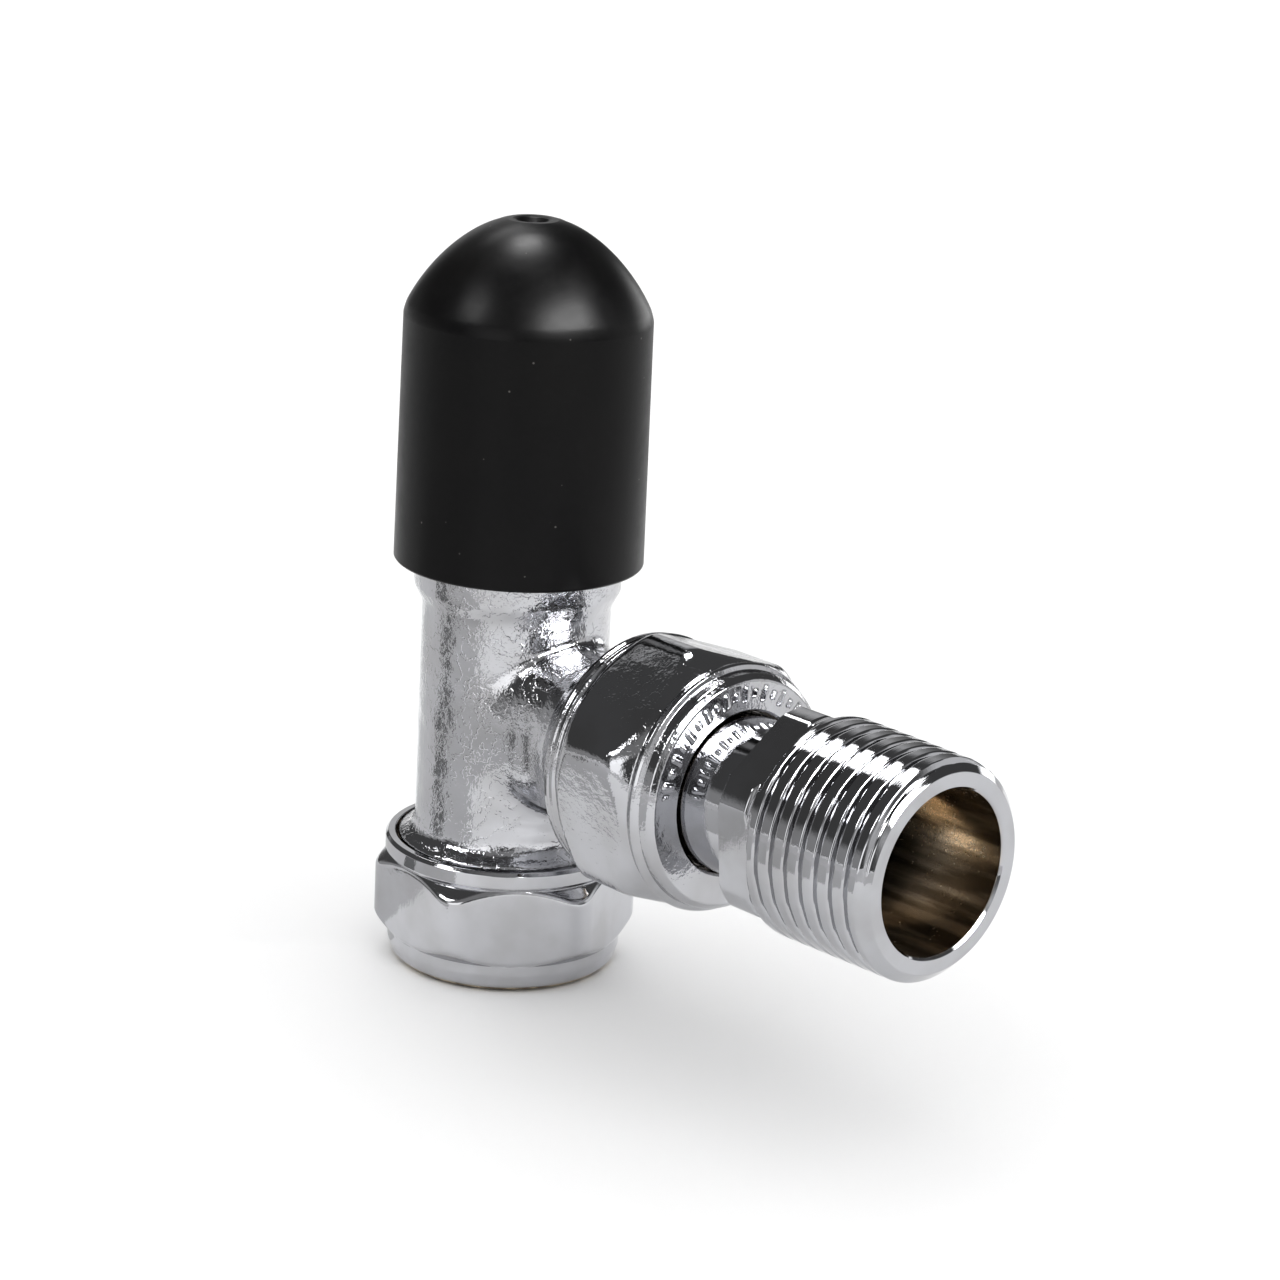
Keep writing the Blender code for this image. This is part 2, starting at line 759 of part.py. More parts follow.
# ------------------------------------------------------------ union and tail
def build_union_nut(parts, cutters):
    """Union nut: hexagon with ringed ends and raised ticks on its front face."""
    outline = [
        (0.0, UNION_FRONT),
        (10.9, UNION_FRONT),
        (11.25, UNION_FRONT - 0.15),
        (11.4, UNION_FRONT - 0.5),
        (11.5, 30.75),
        (11.9, 30.6),
        (12.1, 30.3),
        (11.8, 29.6),
        (11.8, 19.9),
        (12.1, 19.5),
        (12.1, 19.2),
        (11.9, 19.0),
        (12.0, 18.7),
        (11.95, 18.3),
        (11.6, UNION_BACK),
        (0.0, UNION_BACK),
    ]
    nut = turned("union_nut", outline, parts, along_x=True)
    bar = hexagon_bar(
        "union_hexagon",
        UNION_NUT_FLATS,
        18.8,
        30.4,
        UNION_NUT_TURN,
        NUT_CORNER_ROUND,
        cutters,
    )
    chamfer = [
        (0.0, 30.35),
        (11.65, 30.35),
        (14.2, 28.4),
        (14.2, 21.65),
        (11.6, 19.15),
        (0.0, 19.15),
    ]
    boolean(bar, turned("union_chamfer", chamfer, cutters), "INTERSECT", cutters)
    boolean(nut, along_x(bar), "UNION", cutters)
    bore = [
        (0.0, UNION_FRONT + 2.0),
        (UNION_HOLE_RADIUS + 0.25, UNION_FRONT + 2.0),
        (UNION_HOLE_RADIUS + 0.25, UNION_FRONT + 0.02),
        (UNION_HOLE_RADIUS, UNION_FRONT - 0.3),
        (UNION_HOLE_RADIUS, 30.2),
        (9.3, 30.2),
        (9.3, 28.9),
        (NUT_BORE_RADIUS, 28.5),
        (NUT_BORE_RADIUS, 18.4),
        (11.1, 17.95),
        (11.1, 16.0),
        (0.0, 16.0),
    ]
    hole = turned("union_bore", bore, cutters, along_x=True)
    boolean(nut, hole, "DIFFERENCE", cutters)
    for index in range(FACE_TICKS):
        tick = block(
            "face_tick_" + str(index),
            (1.4, 0.45, 0.5),
            (9.6, 0.0, UNION_FRONT),
            cutters,
            turn=2.0 * math.pi * (index + 0.5) / FACE_TICKS,
        )
        boolean(nut, along_x(tick), "UNION", cutters)
    chrome = material("chrome_union_nut", (0.76, 0.77, 0.79), 0.12, 1.0)
    finish(nut, chrome, (0.0, 0.0, BRANCH_HEIGHT))
    ring = turned(
        "nut_retaining_ring",
        [(8.9, 29.9), (8.9, 28.8), (7.15, 28.8), (7.15, 29.9)],
        parts,
        steps=SMALL_STEPS,
        closed=True,
        along_x=True,
    )
    gap = block("ring_gap", (3.0, 2.0, 5.0), (29.35, 0.0, BRANCH_HEIGHT - 8.3), cutters)
    boolean(ring, gap, "DIFFERENCE", cutters)
    steel = material("spring_steel_ring", (0.5, 0.5, 0.52), 0.3, 1.0)
    finish(ring, steel, (0.0, 0.0, BRANCH_HEIGHT))
    return nut


def build_tail(parts, cutters):
    """Radiator tail: sealed spigot, plain neck, spanner flats and thread."""
    crest = BSP_RADIUS + 0.07
    root = crest - 0.75
    outline = [
        (9.3, TAIL_END),
        (root, TAIL_END - 0.6),
        (root + 0.1, 44.3),
        (BSP_RADIUS, 43.5),
        (BSP_RADIUS, TAIL_FLATS_START + 0.25),
        (BSP_RADIUS - 0.2, TAIL_FLATS_START),
        (TAIL_NECK_RADIUS, TAIL_FLATS_START),
        (TAIL_NECK_RADIUS, 30.25),
        (6.85, 30.25),
        (6.85, 28.45),
        (TAIL_NECK_RADIUS, 28.45),
        (TAIL_NECK_RADIUS, 28.3),
        (7.1, 28.3),
        (7.1, 24.9),
        (6.0, 24.9),
        (6.0, 23.2),
        (7.1, 23.2),
        (7.1, 20.5),
        (6.8, 20.1),
        (5.1, 20.1),
        (5.1, 41.0),
        (TAIL_BORE_RADIUS, 43.0),
        (TAIL_BORE_RADIUS, TAIL_END - 0.25),
        (TAIL_BORE_RADIUS + 0.25, TAIL_END),
    ]
    tail = turned("radiator_tail", outline, parts, closed=True, along_x=True)
    ridge = helix_ridge(
        "tail_thread", crest, 0.7, 1.05, BSP_PITCH, 7.0, 44.75, cutters, steps=18, taper=0.0131
    )
    end_cone = [
        (0.0, TAIL_END - 0.4),
        (9.35, TAIL_END - 0.4),
        (11.6, TAIL_END - 2.4),
        (11.6, 41.0),
        (0.0, 41.0),
    ]
    boolean(ridge, turned("tail_end_cone", end_cone, cutters), "INTERSECT", cutters)
    boolean(tail, along_x(ridge), "UNION", cutters)
    mill = [
        (0.0, 43.7),
        (13.0, 43.7),
        (13.0, TAIL_FLATS_START - 1.0),
        (0.0, TAIL_FLATS_START - 1.0),
    ]
    cutter = turned("flats_cutter", mill, cutters)
    bar = hexagon_bar(
        "flats_bar", TAIL_FLATS, TAIL_FLATS_START - 3.0, 46.0, TAIL_FLATS_TURN, 0.0, cutters
    )
    boolean(cutter, bar, "DIFFERENCE", cutters)
    boolean(tail, along_x(cutter), "DIFFERENCE", cutters)
    chrome = material("chrome_tail", (0.74, 0.75, 0.77), 0.15, 1.0)
    finish(tail, chrome, (0.0, 0.0, BRANCH_HEIGHT))
    seal = along_x(ring_of_round_wire("tail_seal", 6.7, 0.45, 24.05, parts))
    rubber = material("black_rubber_tail", (0.02, 0.02, 0.02), 0.6, 0.0)
    finish(seal, rubber, (0.0, 0.0, BRANCH_HEIGHT))
    return tail


def main():
    """Build every piece."""
    clear_scene()
    parts = new_collection("lockshield_radiator_valve")
    cutters = new_collection("cutters")
    build_valve_body(parts, cutters)
    build_bonnet(parts, cutters)
    build_bonnet_seal(parts)
    build_gland(parts, cutters)
    build_spindle(parts, cutters)
    build_plug(parts, cutters)
    build_cap(parts, cutters)
    build_compression_nut(parts, cutters)
    build_union_nut(parts, cutters)
    build_tail(parts, cutters)


main()
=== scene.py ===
"""Looks of the angled lockshield radiator valve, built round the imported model.

Lengths are written in millimetres and scaled to metres.  The pipe and the
spindle lie on the Z axis, the side branch and its tail on a line along +X.
"""
import math

import bmesh
import bpy
import numpy as np
from mathutils import Matrix, Vector


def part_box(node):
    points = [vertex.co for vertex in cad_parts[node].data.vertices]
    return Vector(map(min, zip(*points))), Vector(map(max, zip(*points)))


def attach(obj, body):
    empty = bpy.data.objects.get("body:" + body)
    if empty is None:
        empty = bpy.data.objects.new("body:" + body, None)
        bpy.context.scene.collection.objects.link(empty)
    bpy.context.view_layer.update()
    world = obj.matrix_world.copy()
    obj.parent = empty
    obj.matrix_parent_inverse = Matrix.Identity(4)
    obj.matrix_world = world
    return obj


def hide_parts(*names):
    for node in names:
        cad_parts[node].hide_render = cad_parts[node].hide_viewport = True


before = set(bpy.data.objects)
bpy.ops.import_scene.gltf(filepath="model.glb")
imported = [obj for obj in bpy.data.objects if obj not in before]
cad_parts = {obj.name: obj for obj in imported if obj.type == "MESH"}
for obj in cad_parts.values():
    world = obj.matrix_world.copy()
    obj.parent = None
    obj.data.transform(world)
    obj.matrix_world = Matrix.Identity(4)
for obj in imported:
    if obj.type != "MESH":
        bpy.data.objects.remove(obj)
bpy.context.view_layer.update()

MM = 0.001
TAU = 2.0 * math.pi
tail_low, tail_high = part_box("radiator_tail")
BRANCH = (tail_low.z + tail_high.z) / 2.0 / MM
TAIL_END = tail_high.x / MM
BSP_PITCH = 1.814
BSP_RADIUS = 10.478


# ------------------------------------------------------------ small functions
def soft_min(a, b, width):
    """The smaller of two fields, rounded off where they meet."""
    near = np.maximum(width - np.abs(a - b), 0.0) / width
    return np.minimum(a, b) - near * near * width / 4.0


def soft_max(a, b, width):
    """The larger of two fields, rounded off where they meet."""
    return -soft_min(-a, -b, width)


def smooth_step(low, high, value):
    """0 below low, 1 above high, eased between."""
    part = np.clip((value - low) / (high - low), 0.0, 1.0)
    return part * part * (3.0 - 2.0 * part)


def eased_profile(points, spread):
    """Function of position through (position, radius) points with eased corners."""
    places = np.array([point[0] for point in points])
    radii = np.array([point[1] for point in points])
    step = 0.02
    table = np.arange(places[0] - 3.0, places[-1] + 3.0, step)
    half = np.arange(-4.0 * spread, 4.0 * spread + step, step)
    weights = np.exp(-0.5 * (half / spread) ** 2)
    values = np.interp(table, places, radii)
    eased = np.convolve(values, weights / weights.sum(), mode="same")
    return lambda place: np.interp(place, table, eased)


def prism_radius(angle, flats, corner, turn, sides=6):
    """Distance from the axis to a prism with rounded corners, one of them at the angle turn."""
    apothem = flats / 2.0
    half = math.pi / sides
    off_corner = (angle - turn + half) % (2.0 * half) - half
    off_flat = half - np.abs(off_corner)
    flat = apothem / np.cos(off_flat)
    middle = (apothem - corner) / math.cos(half)
    inside = np.maximum(corner ** 2 - (middle * np.sin(off_corner)) ** 2, 0.0)
    arc = middle * np.cos(off_corner) + np.sqrt(inside)
    on_arc = np.tan(off_flat) > (apothem - corner) * math.tan(half) / apothem
    return np.where(on_arc, arc, flat)


def rounded(corners, fillet=0.1, steps=4):
    """Outline through (radius, height[, fillet]) corners, each rounded by its fillet."""
    out = []
    count = len(corners)
    for index, corner in enumerate(corners):
        here = np.array(corner[:2], float)
        size = corner[2] if len(corner) > 2 else fillet
        before = np.array(corners[index - 1][:2], float) - here
        after = np.array(corners[(index + 1) % count][:2], float) - here
        span_before, span_after = np.linalg.norm(before), np.linalg.norm(after)
        before, after = before / span_before, after / span_after
        angle = math.acos(np.clip(before @ after, -1.0, 1.0))
        if size <= 0.0 or here[0] <= 0.0 or angle > math.pi - 0.01:
            out.append(here)
            continue
        reach = min(size / math.tan(angle / 2.0), 0.4 * span_before, 0.4 * span_after)
        size = reach * math.tan(angle / 2.0)
        middle = here + (before + after) / np.linalg.norm(before + after) * size / math.sin(angle / 2.0)
        start, end = here + before * reach, here + after * reach
        out.append(start + before * min(0.04, 0.1 * span_before))
        sweep = math.pi - angle
        for step in range(steps + 1):
            part = step / steps
            near = math.sin((1.0 - part) * sweep) / math.sin(sweep)
            far = math.sin(part * sweep) / math.sin(sweep)
            out.append(middle + near * (start - middle) + far * (end - middle))
        out.append(end + after * min(0.04, 0.1 * span_after))
    return np.array(out)


def divided(outline, longest, low=-1e9, high=1e9, least=0.0, closed=True):
    """The outline with extra points where its height lies in a range and its radius is over least."""
    out = []
    count = len(outline)
    for index in range(count):
        here, there = outline[index], outline[(index + 1) % count]
        out.append(here)
        if index == count - 1 and not closed:
            break
        middle = (here + there) / 2.0
        span = np.linalg.norm(there - here)
        if low <= middle[1] <= high and middle[0] >= least and span > longest:
            pieces = int(math.ceil(span / longest))
            for step in range(1, pieces):
                out.append(here + (there - here) * step / pieces)
    return np.array(out)


# --------------------------------------------------------------- mesh makers
def mesh_object(name, points, faces):
    """Smooth-shaded object from an array of points in millimetres and one of quads."""
    mesh = bpy.data.meshes.new(name)
    mesh.vertices.add(len(points))
    mesh.vertices.foreach_set("co", (np.asarray(points, np.float64) * MM).astype(np.float32).ravel())
    mesh.loops.add(faces.size)
    mesh.polygons.add(len(faces))
    mesh.loops.foreach_set("vertex_index", faces.astype(np.int32).ravel())
    mesh.polygons.foreach_set("loop_start", np.arange(0, faces.size, 4, dtype=np.int32))
    mesh.polygons.foreach_set("loop_total", np.full(len(faces), 4, dtype=np.int32))
    mesh.polygons.foreach_set("use_smooth", np.ones(len(faces), bool))
    mesh.update(calc_edges=True)
    mesh.validate()
    item = bpy.data.objects.new(name, mesh)
    bpy.context.scene.collection.objects.link(item)
    return item


def turned(name, outline, steps, shape=None, along_x=False):
    """Surface swept round an axis by an outline of (radius, height) points.

    shape(radius, height, angle) may change the radii and heights of the grid.
    An outline that starts and ends on the axis is left open there.
    """
    closed = outline[0][0] > 0.0
    angle = TAU * np.arange(steps)[None, :] / steps
    radius = np.repeat(outline[:, :1], steps, axis=1)
    height = np.repeat(outline[:, 1:2], steps, axis=1)
    if shape is not None:
        radius, height = shape(radius, height, np.repeat(angle, len(outline), axis=0))
    across, up = radius * np.cos(angle), radius * np.sin(angle)
    if along_x:
        points = np.stack([height, across, BRANCH + up], axis=-1).reshape(-1, 3)
    else:
        points = np.stack([across, up, height], axis=-1).reshape(-1, 3)
    rows = len(outline)
    first = np.arange(rows if closed else rows - 1)[:, None] * steps
    second = (first + steps) % (rows * steps)
    here = np.arange(steps)[None, :]
    there = (here + 1) % steps
    faces = np.stack([first + here, second + here, second + there, first + there], axis=-1).reshape(-1, 4)
    item = mesh_object(name, points, faces)
    tidy_surface(item)
    return item


def tidy_surface(item):
    """Merge the points that meet on the axis and turn the faces outwards."""
    work = bmesh.new()
    work.from_mesh(item.data)
    bmesh.ops.remove_doubles(work, verts=work.verts, dist=1e-7)
    if work.calc_volume(signed=True) < 0.0:
        bmesh.ops.reverse_faces(work, faces=work.faces)
    work.to_mesh(item.data)
    work.free()
    item.data.shade_smooth()


def surface_net(name, field, low, high, step):
    """Closed mesh where a function of (x, y, z) is zero, its points drawn onto the surface."""
    axes = [np.arange(low[axis], high[axis] + step, step) for axis in range(3)]
    grid = np.meshgrid(*axes, indexing="ij")
    values = field(*grid)
    shape = np.array(values.shape) - 1
    inside = values < 0.0

    def corner(array, offset):
        return array[tuple(slice(offset[k], offset[k] + shape[k]) for k in range(3))]

    offsets = [(i, j, k) for i in (0, 1) for j in (0, 1) for k in (0, 1)]
    number = sum(corner(inside, offset).astype(np.int8) for offset in offsets)
    active = (number > 0) & (number < 8)
    cells = np.argwhere(active)
    index = np.full(active.shape, -1, np.int64)
    index[active] = np.arange(len(cells))
    total = np.zeros((len(cells), 3))
    hits = np.zeros(len(cells))
    for start in offsets:
        for axis in range(3):
            if start[axis]:
                continue
            stop = tuple(start[k] + (k == axis) for k in range(3))
            near, far = corner(values, start)[active], corner(values, stop)[active]
            crossing = (near < 0.0) != (far < 0.0)
            part = np.where(crossing, near / np.where(crossing, near - far, 1.0), 0.0)
            place = np.array(start, float) + part[:, None] * np.eye(3)[axis]
            total += np.where(crossing[:, None], place, 0.0)
            hits += crossing
    points = np.array(low) + step * (cells + total / hits[:, None])
    faces = []
    for axis in range(3):
        one, two = [k for k in range(3) if k != axis]
        near = inside[tuple(slice(0, -1) if k == axis else slice(1, -1) for k in range(3))]
        far = inside[tuple(slice(1, None) if k == axis else slice(1, -1) for k in range(3))]
        base = np.argwhere(near != far)
        starts_inside = near[near != far]
        base[:, one] += 1
        base[:, two] += 1
        ring = []
        for back_one, back_two in ((1, 1), (0, 1), (0, 0), (1, 0)):
            cell = base.copy()
            cell[:, one] -= back_one
            cell[:, two] -= back_two
            ring.append(index[cell[:, 0], cell[:, 1], cell[:, 2]])
        quads = np.stack(ring, axis=-1)
        flip = starts_inside if axis == 1 else ~starts_inside
        quads[flip] = quads[flip][:, ::-1]
        faces.append(quads)
    points = drawn_to_surface(points, field, step)
    item = mesh_object(name, points, np.concatenate(faces))
    tidy_surface(item)
    return item


def drawn_to_surface(points, field, step):
    """Move points along the field's slope until they lie on the surface."""
    reach = 0.02
    moved = points.copy()
    for _ in range(3):
        here = field(*moved.T)
        slope = np.stack(
            [
                field(*(moved + reach * np.eye(3)[axis]).T) - field(*(moved - reach * np.eye(3)[axis]).T)
                for axis in range(3)
            ],
            axis=-1,
        ) / (2.0 * reach)
        shift = -(here / np.maximum((slope ** 2).sum(axis=1), 0.05))[:, None] * slope
        moved += np.clip(shift, -0.5 * step, 0.5 * step)
    off = moved - points
    return points + np.clip(off, -0.6 * step, 0.6 * step)


def thread_groove(height, angle, pitch, start, floor_width, flank):
    """Depth share, 0 to 1, of a right-hand groove whose middle passes height start at angle 0."""
    turn = (height - start) / pitch - angle / TAU
    off = np.abs(turn - np.round(turn)) * pitch
    return 1.0 - smooth_step(floor_width / 2.0, floor_width / 2.0 + flank, off)


# ------------------------------------------------------------------ the body
BODY_LOW, BODY_HIGH, BRANCH_REACH = 4.5, 42.9, 28.0
BODY_THREAD = 1.1              # height of the ridges on both threads of the body
BODY_GROOVE, BODY_FLANK = 0.5, 0.45
LOWER_START, SIDE_START = 5.0, 18.4
WAIST = 0.8                    # how much the branch narrows beside the upright tube
FILLET, FILLET_UPRIGHT = 2.1, 1.0
NET_STEP, NET_STEP_QUICK = 0.315, 0.4
# (place along the axis, radius) of the outsides and of the waterways
TUBE = eased_profile(
    [(4.5, 9.2), (5.0, 9.38), (12.2, 9.38), (12.35, 10.75), (12.5, 10.9), (13.0, 10.9), (13.25, 10.4),
     (13.6, 9.8), (14.1, 9.45), (14.8, 9.33), (36.8, 9.33), (37.4, 9.45), (38.3, 9.9), (38.9, 10.2),
     (42.6, 10.25), (42.9, 10.0)], 0.12)
BRANCH_TUBE = eased_profile(
    [(0.0, 8.5), (9.0, 8.5), (12.0, 8.25), (14.0, 8.4), (15.2, 8.9), (16.2, 9.6), (16.8, 9.8),
     (17.2, 9.8), (17.35, 9.38), (27.6, 9.38), (28.0, 9.0)], 0.12)
UPRIGHT_BORE = eased_profile(
    [(4.4, 8.75), (8.6, 7.65), (13.9, 7.65), (14.0, 6.2), (15.4, 6.2), (15.6, 4.6), (18.6, 4.6),
     (18.8, 7.0), (34.2, 7.0), (34.6, 7.45), (42.5, 7.45), (42.95, 7.9)], 0.08)
SIDE_BORE = eased_profile([(-2.0, 5.8), (19.5, 5.8), (19.7, 7.4), (27.5, 7.4), (28.0, 7.9)], 0.08)


def body_field(x, y, z):
    """Negative inside the forged body."""
    out = np.hypot(x, y)
    level = z - BRANCH
    off = np.hypot(y, level)
    around = np.arctan2(y, x)
    groove = thread_groove(z, around, BSP_PITCH, LOWER_START, BODY_GROOVE, BODY_FLANK)
    lower = BODY_THREAD - BODY_THREAD * groove
    lower = lower * smooth_step(4.6, 5.6, z) * (1.0 - smooth_step(11.0, 11.8, z))
    tube = np.maximum(out - TUBE(z) - lower, np.maximum(z - BODY_HIGH, BODY_LOW - z))
    groove = thread_groove(x, np.arctan2(level, y), BSP_PITCH, SIDE_START, BODY_GROOVE, BODY_FLANK)
    side = BODY_THREAD - BODY_THREAD * groove
    side = side * smooth_step(18.3, 19.2, x) * (1.0 - smooth_step(26.4, 27.4, x))
    # 0 at the sides of the branch, 1 at its top and bottom
    upright = smooth_step(0.15, 0.85, np.abs(level) / np.maximum(off, 0.1))
    waist = WAIST * (1.0 - upright) * (1.0 - smooth_step(10.0, 15.0, x))
    branch = np.maximum(off - BRANCH_TUBE(x) - side + waist, np.maximum(x - BRANCH_REACH, -x))
    solid = soft_min(tube, branch, FILLET - (FILLET - FILLET_UPRIGHT) * upright)
    pipe_way = out - UPRIGHT_BORE(z)
    side_way = np.maximum(off - SIDE_BORE(x), -x)
    return soft_max(soft_max(solid, -pipe_way, 0.15), -side_way, 0.15)


def make_body():
    """Forged body with its branch, both threads and the waterways."""
    low = (-11.4, -11.4, BODY_LOW - 0.5)
    high = (BRANCH_REACH + 0.6, 11.4, BODY_HIGH + 0.5)
    step = NET_STEP
    return surface_net("valve_body_skin", body_field, low, high, step)


# ------------------------------------------------------------------- the cap
cap_low, cap_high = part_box("cap")
CAP_RIM, CAP_TOP = cap_low.z / MM, cap_high.z / MM
CAP_RIM_RADIUS = cap_high.x / MM
CAP_SHOULDER = 65.6
CAP_SHOULDER_RADIUS = 12.06
CAP_TIP_RADIUS = 3.1
CAP_TIP_DROP = 0.16            # from the rim of the dished tip down to where the dome starts
CAP_BORE_RADIUS = 10.9
RIB_COUNT, RIB_RADIUS, RIB_HEIGHT = 6, 10.2, 1.35


def dome_points(count):
    """Ogive dome from the flat tip down to the crease at the shoulder."""
    rise = CAP_TOP - CAP_TIP_DROP - CAP_SHOULDER
    out = []
    for step in range(1, count):
        part = 1.0 - step / count
        share = (1.0 - part ** 1.25) ** 0.65 + 0.013 * min(part / 0.12, 1.0) - 0.06 * part ** 4
        radius = CAP_TIP_RADIUS + (CAP_SHOULDER_RADIUS - CAP_TIP_RADIUS) * share
        out.append((radius, CAP_SHOULDER + rise * part, 0.0))
    return out


def make_cap():
    """Bullet cap: dome with a dished tip, straight skirt and six ribs inside."""
    corners = [
        (0.0, CAP_TOP - 0.72),
        (1.0, CAP_TOP - 0.62, 0.5),
        (1.6, CAP_TOP - 0.1, 0.25),
        (1.95, CAP_TOP, 0.2),
        (2.5, CAP_TOP, 0.5),
        (CAP_TIP_RADIUS, CAP_TOP - CAP_TIP_DROP, 0.0),
    ]
    corners += dome_points(48)
    corners += [
        (CAP_SHOULDER_RADIUS, CAP_SHOULDER, 0.12),
        (CAP_RIM_RADIUS, CAP_RIM + 0.2, 0.15),
        (CAP_RIM_RADIUS - 0.15, CAP_RIM, 0.1),
        (CAP_BORE_RADIUS + 0.15, CAP_RIM, 0.1),
        (CAP_BORE_RADIUS, CAP_RIM + 0.3, 0.1),
        (CAP_BORE_RADIUS, 63.5, 0.5),
        (10.2, 66.0, 1.0),
        (8.8, 68.4, 1.0),
        (6.6, 70.6, 1.0),
        (3.8, 72.2, 1.0),
        (0.0, 72.9),
    ]
    outline = divided(rounded(corners), 0.5, 44.0, 63.0, closed=False)

    def ribs(radius, height, angle):
        share = TAU / RIB_COUNT
        off = np.abs((angle + share / 2.0) % share - share / 2.0) * RIB_RADIUS
        rib = (1.0 - smooth_step(0.55, 0.85, off)) * smooth_step(44.8, 45.3, height)
        rib = rib * (1.0 - smooth_step(61.7, 62.2, height))
        inner = (radius > 10.5) & (radius < 11.0) & (height < 64.0)
        return np.where(inner, radius - RIB_HEIGHT * rib, radius), height

    return turned("cap_shell", outline, 240, ribs)


# -------------------------------------------------------- the two large nuts
# across flats, rounding of the corners, angle of one corner
UNION_BAR = (24.0, 2.6, math.radians(42.0))
COMPRESSION_BAR = (23.6, 3.2, math.radians(-6.0))
UNION_FRONT = 32.3
UNION_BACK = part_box("union_nut")[0].x / MM
FACE_MARKS = 48                # ticks that a full turn of the front face would hold
FACE_MARKS_FROM, FACE_MARKS_TO = math.radians(26.0), math.radians(172.0)
FACE_MARK_HEIGHT = 0.26
COMPRESSION_SKIRT = 11.72


def face_marks(radius, height, angle):
    """Height of the raised ticks cast round the union nut's front face, long and short in turn."""
    share = angle / TAU * FACE_MARKS
    off = np.abs(share - np.round(share)) * TAU / FACE_MARKS * radius
    short = (np.round(share).astype(int) % 2) * 0.35
    across = 1.0 - smooth_step(0.12, 0.34, off)
    along = smooth_step(8.85, 9.1, radius - short) * (1.0 - smooth_step(10.25, 10.5, radius + short))
    marked = (angle > FACE_MARKS_FROM) & (angle < FACE_MARKS_TO)
    return FACE_MARK_HEIGHT * across * along * marked * (height > UNION_FRONT - 0.05)


def make_union_nut():
    """Union nut: ringed ends, chamfered hexagon, raised marks on the front."""
    corners = [
        (10.9, UNION_FRONT, 0.35),
        (11.4, UNION_FRONT - 0.5, 0.35),
        (11.5, 30.8, 0.12),
        (11.95, 30.6, 0.12),
        (12.1, 30.3, 0.12),
        (11.8, 29.6, 0.1),
        (11.8, 19.9, 0.1),
        (12.1, 19.55, 0.1),
        (12.1, 19.2, 0.1),
        (11.88, 19.0, 0.08),
        (12.0, 18.7, 0.12),
        (11.95, 18.3, 0.15),
        (11.6, UNION_BACK, 0.15),
        (11.1, UNION_BACK, 0.1),
        (10.8, 18.4, 0.1),
        (10.8, 28.5, 0.2),
        (9.3, 28.9, 0.1),
        (9.3, 30.2, 0.1),
        (7.85, 30.2, 0.08),
        (7.85, UNION_FRONT - 0.25, 0.08),
        (8.1, UNION_FRONT, 0.08),
    ]
    outline = divided(rounded(corners), 0.18, 18.75, 30.65, 11.3)
    outline = divided(outline, 0.1, UNION_FRONT - 0.02, UNION_FRONT + 0.02, 8.4)

    def hexagon(radius, height, angle):
        front = 11.65 + (30.0 - height) * 0.95
        back = 11.6 + (height - 19.5) * 0.85
        prism = prism_radius(angle, *UNION_BAR)
        bar = np.minimum(soft_min(front, prism, 1.1), soft_min(back, prism, 0.5))
        outside = (radius > 11.3) & (height > 18.75) & (height < 30.65)
        marked = height + face_marks(radius, height, angle)
        return np.where(outside, soft_max(radius, bar, 0.08), radius), marked

    return turned("union_nut_shell", outline, 432, hexagon, along_x=True)


def make_compression_nut():
    """Compression nut: round collar above, hexagon flush with a round skirt."""
    skirt = COMPRESSION_SKIRT
    corners = [
        (11.9, 12.9, 0.12),
        (12.2, 12.55, 0.15),
        (12.2, 11.3, 0.15),
        (11.95, 10.95, 0.12),
        (skirt - 0.15, 10.8, 0.1),
        (skirt - 0.15, 3.1, 0.1),
        (skirt, 2.9, 0.1),
        (skirt, 1.9, 0.6),
        (skirt - 0.3, 0.8, 0.6),
        (skirt - 0.8, 0.25, 0.5),
        (skirt - 1.6, 0.0, 0.5),
        (7.9, 0.0, 0.08),
        (7.65, 0.35, 0.08),
        (7.65, 2.2, 0.05),
        (9.0, 3.3, 0.05),
        (10.8, 3.3, 0.1),
        (10.8, 11.1, 0.1),
        (11.2, 11.4, 0.1),
        (11.2, 12.9, 0.1),
    ]
    outline = divided(rounded(corners), 0.12, 2.4, 11.2, 11.25)

    def hexagon(radius, height, angle):
        upper = 11.5 + (11.15 - height) * 2.5 / 2.3
        lower = 11.35 + (height - 2.55) * 2.65 / 2.55
        cone = np.minimum(upper, lower)
        bar = soft_min(cone, prism_radius(angle, *COMPRESSION_BAR), 0.4)
        outside = (radius > 11.25) & (height > 2.4) & (height < 11.0)
        return np.where(outside, soft_max(radius, bar, 0.08), radius), height

    return turned("compression_nut_shell", outline, 432, hexagon)


# ------------------------------------------------------------------ the tail
TAIL_CREST = BSP_RADIUS + 0.07
TAIL_TAPER = 0.0131            # loss of radius for each millimetre towards the end
TAIL_GROOVE_DEPTH = 0.62
TAIL_GROOVE_START, TAIL_GROOVE_WIDTH, TAIL_FLANK = 42.2, 0.18, 0.26
TAIL_BAR = (19.2, 0.05, math.radians(36.0))


